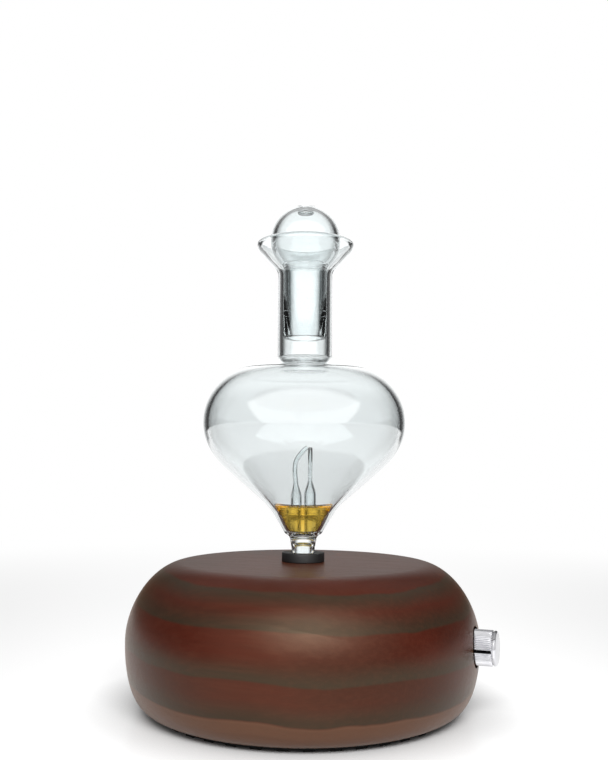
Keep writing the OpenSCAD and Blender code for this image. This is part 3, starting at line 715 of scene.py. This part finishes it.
def make_knob():
    """A knurled barrel with a plain ring behind it and a polished, bevelled cap."""
    ridges = 54
    ridge_depth = 0.42
    length = knob_high.x - knob_low.x
    knurl_start = 1.5
    knurl_end = length - 1.6
    groove_r = KNOB_R - 0.45
    neck_r = KNOB_R - 0.8
    cap_r = KNOB_R - 0.2
    shaft_r, skirt_r = 3.05, 6.4

    def knurl(r, z, a):
        if r < KNOB_R - 0.9 or z < 1.1 or z > knurl_end - 0.15:
            return r
        wave = abs((a * ridges / (2 * math.pi)) % 1.0 - 0.5) * 2
        return r - ridge_depth * (1 - wave) ** 1.3

    ring = [(KNOB_R - 0.5, 0.0), (KNOB_R - 0.15, 0.3), (KNOB_R - 0.15, 0.9), (groove_r, 1.0),
            (groove_r, 1.12), (KNOB_R, knurl_start)]
    steps = 10
    knurled = [(KNOB_R, knurl_start + (knurl_end - 2.0) * k / steps) for k in range(1, steps + 1)]
    neck = [(groove_r, knurl_end - 0.1), (neck_r, knurl_end), (neck_r, knurl_end + 0.25)]
    cap = [(cap_r - 0.1, knurl_end + 0.32), (cap_r, knurl_end + 0.45), (cap_r, length - 0.6),
           (cap_r - 0.1, length - 0.4), (cap_r - 0.4, length - 0.06), (cap_r - 0.6, length),
           (KNOB_R - 3.0, length), (0, length)]
    inside = [(0, length - 3.5), (shaft_r, length - 3.5), (shaft_r, 4.0), (skirt_r, 4.0), (skirt_r, 0.0)]
    outline = ring + knurled + neck + cap + inside
    return lathe("knurled_speed_knob", outline, ridges * 6, knurl, along_x(knob_low.x, 0, KNOB_Z), 28)


# ---------- Glass ----------

def bulb_line():
    """Outer line of the bowl and bulb, from the top of the plug to the foot of the neck."""
    corner = (8.6, BOWL_Z - 0.4)
    bend = (14, BOWL_Z + 8.6)
    cone0 = (20.6, BOWL_Z + 15.7)
    cone1 = (BULB_R - 11.5, BOWL_Z + 28.3)
    widest = (BULB_R, BOWL_Z + 50.5)
    shoulder = (BULB_R - 17.2, BOWL_Z + 75.5)
    root = (NECK_R, BOWL_Z + 81.5)
    return (bezier((6.9, BOWL_Z - 1.6), (7.3, BOWL_Z - 1.3), shifted(corner, -0.5, -0.5), corner, 3)
            + bezier(corner, shifted(corner, 1.5, 2.5), shifted(bend, -2.4, -4), bend, 10)
            + bezier(bend, shifted(bend, 1.3, 2.2), shifted(cone0, -2.7, -2.3), cone0, 12)
            + bezier(cone0, shifted(cone0, 2.7, 2.3), shifted(cone1, -2.7, -2.3), cone1, 12)
            + bezier(cone1, shifted(cone1, 8.1, 7), shifted(widest, 0, -8), widest, 32)
            + bezier(widest, shifted(widest, 0, 10.6), shifted(shoulder, 10.3, -4), shoulder, 36)
            + bezier(shoulder, shifted(shoulder, -10.8, 4.9), shifted(root, 0, -2.3), root, 24))


def flare_line():
    """Outer line of the neck and the flared mouth, from the foot of the neck to the rim."""
    root = (NECK_R, BOWL_Z + 81.5)
    mouth = (NECK_R, MOUTH_Z)
    cone0 = shifted(mouth, 3.6, 6.4)
    cone1 = shifted(mouth, 8.2, 11.4)
    rim = (NECK_R + 10.1, RIM_Z)
    return (bezier(root, shifted(root, 0, 12), shifted(mouth, 0, -12), mouth, 8)
            + bezier(mouth, shifted(mouth, 0, 3), shifted(cone0, -1.8, -1.8), cone0, 14)
            + bezier(cone0, shifted(cone0, 1.8, 1.8), shifted(cone1, -1.3, -1.3), cone1, 8)
            + bezier(cone1, shifted(cone1, 1.3, 1.3), shifted(rim, 0, -1.4), rim, 10) + [rim])


def bulb_inside(gap):
    """Inner line of the bowl and bulb from just over its floor, moved in by gap."""
    inner = inset(bulb_line(), GLASS_T + gap, GLASS_T + gap)
    return [p for p in inner if p[1] > BOWL_Z + 0.5]


def make_reservoir():
    """The blown reservoir in one piece: plug, bowl, bulb, neck and flared mouth."""
    bore_r = 3.4
    lip_r = 1.15
    plug = softened([(bore_r, SEAT_Z), (4.7, SEAT_Z), (4.72, SEAT_Z + 1)], 0.4)[5:10]
    plug += [(5.1, COLLAR_Z), (5.4, COLLAR_Z + 2), (6.2, BOWL_Z - 2.6)]
    flare = flare_line()
    rim = flare[-1]
    lip = [(rim[0] - lip_r + lip_r * math.cos(a), rim[1] + lip_r * math.sin(a))
           for a in (math.pi * k / 8 for k in range(1, 8))]
    floor_line = [(5.8, BOWL_Z + 0.25), (5.0, BOWL_Z + 0.05), (4.2, BOWL_Z), (0, BOWL_Z)]
    plug_bore = [(0, BOWL_Z - 4), (bore_r - 1.8, BOWL_Z - 4.1), (bore_r - 0.7, BOWL_Z - 4.5),
                 (bore_r, BOWL_Z - 5.6), (bore_r, SEAT_Z + 0.3), (bore_r + 0.3, SEAT_Z)]
    outline = (plug + bulb_line() + flare + lip + inset(flare, GLASS_T, 2 * lip_r)[::-1]
               + bulb_inside(0)[::-1] + floor_line + plug_bore)
    return lathe("blown_glass_reservoir", outline, 224, sharp=60)


def tube_place():
    """Turns the two tubes' common plane."""
    return Matrix.Rotation(TUBE_ANGLE, 4, "Z")


def make_jet():
    """The air tube: straight, drawn down to a thin jet."""
    x = 3.0
    wide, thin = 2.8, 1.0
    wide_bore, thin_bore = 2.1, 0.62
    shoulder = BOWL_Z + 18

    def wall(r0, r1, z0):
        return [(r0, BOWL_Z - 0.3)] + bezier((r0, z0), (r0, z0 + 2.4), (r1, z0 + 4.2), (r1, z0 + 7.8), 20)

    top = jet_high.z
    lip = [(thin, top - 0.25), (thin - 0.1, top - 0.08), (thin - 0.25, top),
           (thin_bore + 0.1, top), (thin_bore, top - 0.1)]
    outline = wall(wide, thin, shoulder) + lip + wall(wide_bore, thin_bore, shoulder - 0.6)[::-1]
    place = tube_place() @ Matrix.Translation((x, 0, 0))
    return lathe("glass_air_jet_tube", outline, 64, place=place, sharp=60)


def make_siphon():
    """The oil tube: straight at its foot, then bent over towards the jet."""
    x = -3.3
    wide, thin = 2.65, 1.1
    bore_share = 0.72
    straight = [(x, 0, BOWL_Z + h) for h in (-0.3, 5, 10, 15.9)]
    bend = [(x - 0.2, 0, BOWL_Z + 19.6), (x - 0.4, 0, BOWL_Z + 23.6), (x - 0.8, 0, BOWL_Z + 29.2),
            (x, 0, BOWL_Z + 32.9), (x + 2.6, 0, BOWL_Z + 36.5), (x + 4.8, 0, BOWL_Z + 38.6)]
    path = smooth_path(straight + bend, 8)

    def outer(t):
        s = min(max((t - 0.40) / 0.20, 0), 1)
        return wide + (thin - wide) * s * s * (3 - 2 * s)

    def inner(t):
        return bore_share * outer(t)

    return swept_tube("glass_oil_siphon_tube", path, outer, inner, place=tube_place())


def make_stopper():
    """A hollow ball with a vent at its top and a tube stem below."""
    stem_r, bore_r = 10.1, 8.1
    wall = 2.2
    vent_r = 3.6
    stem_z = stopper_low.z
    inner_r = BALL_R - wall
    vent_angle = math.degrees(math.acos(vent_r / BALL_R))
    vent_inner = math.degrees(math.acos(vent_r / inner_r))
    outer_ball = arc(BALL_R, BALL_Z, -46, vent_angle - 1.0, 60)
    inner_ball = arc(inner_r, BALL_Z, vent_inner - 2.0, -50, 50)
    top_z = BALL_Z + BALL_R * math.sin(math.radians(vent_angle))
    join = (stem_r, BALL_Z - 15.5)
    first = outer_ball[0]
    fillet = bezier(join, shifted(join, 0, 2.2), shifted(first, -1.1, -1.2), first, 8)
    join_in = (bore_r, BALL_Z - 14.0)
    last = inner_ball[-1]
    fillet_in = bezier(last, shifted(last, -0.6, -0.8), shifted(join_in, 0, 1.2), join_in, 6)
    vent = [(vent_r + 0.15, top_z - 0.02), (vent_r, top_z - 0.25), (vent_r, top_z - 3.0)]
    stem_top = 190.0
    stem = [(bore_r, stem_top), (bore_r, stem_z + 0.5), (bore_r + 0.2, stem_z + 0.15), (bore_r + 0.6, stem_z),
            (stem_r - 0.6, stem_z), (stem_r - 0.2, stem_z + 0.15), (stem_r, stem_z + 0.6), (stem_r, stem_top)]
    outline = fillet + outer_ball + vent + inner_ball + fillet_in + [join_in] + stem
    return lathe("glass_ball_stopper", outline, 192, sharp=60)


def make_oil_body():
    """The oil: it fills the bowl to a hair from the glass, and its surface climbs a little at the wall."""
    gap = 0.08
    climb = 0.7
    wall = [p for p in bulb_inside(gap) if p[1] < OIL_Z + climb - 0.3]
    edge_r = wall[-1][0]
    surface = [(edge_r - 0.1, OIL_Z + climb), (edge_r - 0.7, OIL_Z + 0.32), (edge_r - 1.5, OIL_Z + 0.1),
               (edge_r - 2.8, OIL_Z)] + [(edge_r * k / 5, OIL_Z) for k in (3, 2, 1)] + [(0, OIL_Z)]
    floor_line = [(0, BOWL_Z + gap), (4.4, BOWL_Z + gap), (5.4, BOWL_Z + gap + 0.12)]
    return lathe("amber_oil", floor_line + wall + surface, 160, sharp=60)


add_piece(make_wood_body(), "wood", "base", "wood_shell")
add_piece(make_foot(), "foot_rubber", "base", "foot_ring")
add_piece(make_collar(), "collar_plastic", "base", "socket_collar")
add_piece(make_jack(), "jack_plastic", "base", "power_jack")
add_piece(make_knob(), "knob_chrome", "knob", "control_knob")
add_piece(make_reservoir(), "clear_glass", "reservoir", "reservoir_bowl", "reservoir_bulb", "reservoir_neck")
add_piece(make_jet(), "clear_glass", "reservoir", "air_jet_tube")
add_piece(make_siphon(), "clear_glass", "reservoir", "oil_siphon_tube")
add_piece(make_oil_body(), "amber_oil", "reservoir", "essential_oil")
add_piece(make_stopper(), "clear_glass", "stopper", "glass_stopper")


# ---------- Camera ----------

CAMERA_DISTANCE = 0.4144
CAMERA_HEIGHT = 0.1096
CAMERA_PITCH = 5.28
CAMERA_ROLL = 0.45
CAMERA_YAW = -0.03


def add_camera():
    data = bpy.data.cameras.new("camera")
    data.lens = 42
    data.sensor_width = 36
    camera = bpy.data.objects.new("camera", data)
    bpy.context.scene.collection.objects.link(camera)
    place = Vector((math.sin(VIEW_ANGLE), -math.cos(VIEW_ANGLE), 0)) * CAMERA_DISTANCE
    place.z = CAMERA_HEIGHT
    turn = (Matrix.Rotation(VIEW_ANGLE - math.radians(CAMERA_YAW), 4, "Z")
            @ Matrix.Rotation(math.radians(90 + CAMERA_PITCH), 4, "X")
            @ Matrix.Rotation(math.radians(CAMERA_ROLL), 4, "Z"))
    camera.matrix_world = Matrix.Translation(place) @ turn
    bpy.context.scene.camera = camera


# ---------- Studio ----------

ROOM_LEVEL = 0.06
CEILING_LEVEL = 0.50
CEILING_START, CEILING_FULL = 0.35, 0.85
FLOOR_GLOW = 0.55
FLOOR_FADE = (0.12, 0.85)
SHADOW_REACH = 0.030


def add_world():
    """White for the camera; a dim room with a soft ceiling for what lights and mirrors in the object."""
    world = bpy.data.worlds.new("studio")
    bpy.context.scene.world = world
    world.use_nodes = True
    tree = world.node_tree
    tree.nodes.clear()
    ray = tree.nodes.new("ShaderNodeTexCoord")
    up = tree.nodes.new("ShaderNodeSeparateXYZ")
    tree.links.new(ray.outputs["Generated"], up.inputs[0])
    room = tree.nodes.new("ShaderNodeMapRange")
    room.interpolation_type = "SMOOTHSTEP"
    levels = {"From Min": CEILING_START, "From Max": CEILING_FULL,
              "To Min": ROOM_LEVEL, "To Max": CEILING_LEVEL}
    for key, value in levels.items():
        room.inputs[key].default_value = value
    tree.links.new(up.outputs["Z"], room.inputs["Value"])
    seen = tree.nodes.new("ShaderNodeMix")
    tree.links.new(tree.nodes.new("ShaderNodeLightPath").outputs["Is Camera Ray"], seen.inputs[0])
    tree.links.new(room.outputs["Result"], seen.inputs[2])
    seen.inputs[3].default_value = 1.0
    background = tree.nodes.new("ShaderNodeBackground")
    background.inputs["Color"].default_value = (1.0, 1.0, 1.0, 1.0)
    tree.links.new(seen.outputs[0], background.inputs["Strength"])
    output = tree.nodes.new("ShaderNodeOutputWorld")
    tree.links.new(background.outputs[0], output.inputs["Surface"])


def add_floor():
    """A pale round floor, shaded close under the object, that fades into the white round it."""
    bm = bmesh.new()
    bmesh.ops.create_circle(bm, cap_ends=True, segments=96, radius=2500)
    floor = finish_mesh("floor", bm)
    m = Nodes("pale_floor")
    distance = m.add("ShaderNodeVectorMath", {0: m.place()}, operation="LENGTH").outputs["Value"]
    m.set(base_color=(0.50, 0.50, 0.50, 1.0), roughness=0.25, specular_ior_level=0.4)
    open_sky = m.add("ShaderNodeAmbientOcclusion", {"Distance": SHADOW_REACH}, samples=8).outputs["AO"]
    glow = m.add("ShaderNodeEmission", {"Color": (1.0, 1.0, 1.0, 1.0)})
    m.link(m.maths("MULTIPLY", m.maths("POWER", open_sky, 1.3), FLOOR_GLOW), glow.inputs["Strength"])
    near = m.add("ShaderNodeAddShader", {0: m.shader.outputs[0], 1: glow.outputs[0]})
    far = m.add("ShaderNodeEmission", {"Color": (1.0, 1.0, 1.0, 1.0), "Strength": 1.0})
    fade = m.spread(distance, *FLOOR_FADE)
    both = m.add("ShaderNodeMixShader", {0: fade, 1: near.outputs[0], 2: far.outputs[0]})
    m.link(both.outputs[0], m.output.inputs["Surface"])
    floor.data.materials.append(m.material)


def add_card(name, camera, ahead, up, width, height, level, core, in_satin, top=1.0):
    """A glowing card on the camera's boom, in metres from the lens: ahead of it, or behind with a minus.

    The boom keeps a bright field behind the glass from every side, which is what gives it dark outlines.
    Only clear and glossy surfaces see it, satin ones by the share in_satin. It is brightest in its core
    and fades out to its edges; top is how much brighter its upper half is.
    """
    bm = bmesh.new()
    bmesh.ops.create_grid(bm, x_segments=1, y_segments=1, size=500)
    card = finish_mesh(name, bm)
    m = Nodes(name)
    flat = m.add("ShaderNodeTexCoord").outputs["Object"]
    axes = m.add("ShaderNodeSeparateXYZ", {0: flat})
    sides = m.spread(m.maths("ABSOLUTE", axes.outputs["X"]), 0.5 * core, 0.5, level, 0.0)
    ends = m.spread(m.maths("ABSOLUTE", axes.outputs["Y"]), 0.35, 0.5, 1.0, 0.0)
    rise = m.spread(axes.outputs["Y"], -0.03, 0.03, 1.0, top)
    sides = m.maths("MULTIPLY", sides, rise)
    sharp = m.spread(m.add("ShaderNodeLightPath").outputs["Is Singular Ray"], 0.0, 1.0, in_satin, 1.0)
    glow = m.add("ShaderNodeEmission", {"Color": (1.0, 1.0, 1.0, 1.0)})
    m.link(m.maths("MULTIPLY", m.maths("MULTIPLY", sides, ends), sharp), glow.inputs["Strength"])
    m.link(glow.outputs[0], m.output.inputs["Surface"])
    card.data.materials.append(m.material)
    card.parent = camera
    place = Vector((0.0, up, -ahead))
    turn = place.to_track_quat("Z", "Y") if ahead < 0 else (-place).to_track_quat("Z", "Y")
    card.matrix_local = Matrix.LocRotScale(place, turn, Vector((width, height, 1.0)))
    card.visible_camera = False
    card.visible_diffuse = False
    card.visible_shadow = False
    card.visible_volume_scatter = False


def add_softbox(name, azimuth, elevation, distance, width, height, power):
    """A soft light aimed at the middle of the object; azimuth 0 is beside the camera, and 90 is right."""
    data = bpy.data.lights.new(name, "AREA")
    data.shape = "RECTANGLE"
    data.size = width
    data.size_y = height
    data.energy = power
    light = bpy.data.objects.new(name, data)
    bpy.context.scene.collection.objects.link(light)
    a = VIEW_ANGLE + math.radians(azimuth)
    e = math.radians(elevation)
    away = Vector((math.sin(a) * math.cos(e), -math.cos(a) * math.cos(e), math.sin(e)))
    aim = Vector((0, 0, 0.10))
    light.location = aim + away * distance
    light.rotation_mode = "QUATERNION"
    light.rotation_quaternion = (-away).to_track_quat("-Z", "Y")
    light.visible_camera = False


def light_the_scene():
    scene = bpy.context.scene
    scene.view_settings.view_transform = "Standard"
    scene.view_settings.look = "None"
    scene.cycles.max_bounces = 28
    scene.cycles.transmission_bounces = 28
    scene.cycles.glossy_bounces = 12
    scene.cycles.transparent_max_bounces = 28
    scene.cycles.caustics_reflective = False
    scene.cycles.caustics_refractive = False
    add_world()
    add_floor()
    add_card("backdrop_card", scene.camera, ahead=1.30, up=0.05, width=1.16, height=1.60,
             level=1.06, core=0.25, in_satin=0.42, top=1.22)
    add_card("front_card", scene.camera, ahead=-0.25, up=0.26, width=2.40, height=1.20,
             level=2.8, core=0.80, in_satin=0.32)
    add_softbox("key_softbox", azimuth=6, elevation=34, distance=0.90, width=0.58, height=0.32, power=14.5)


add_camera()
light_the_scene()
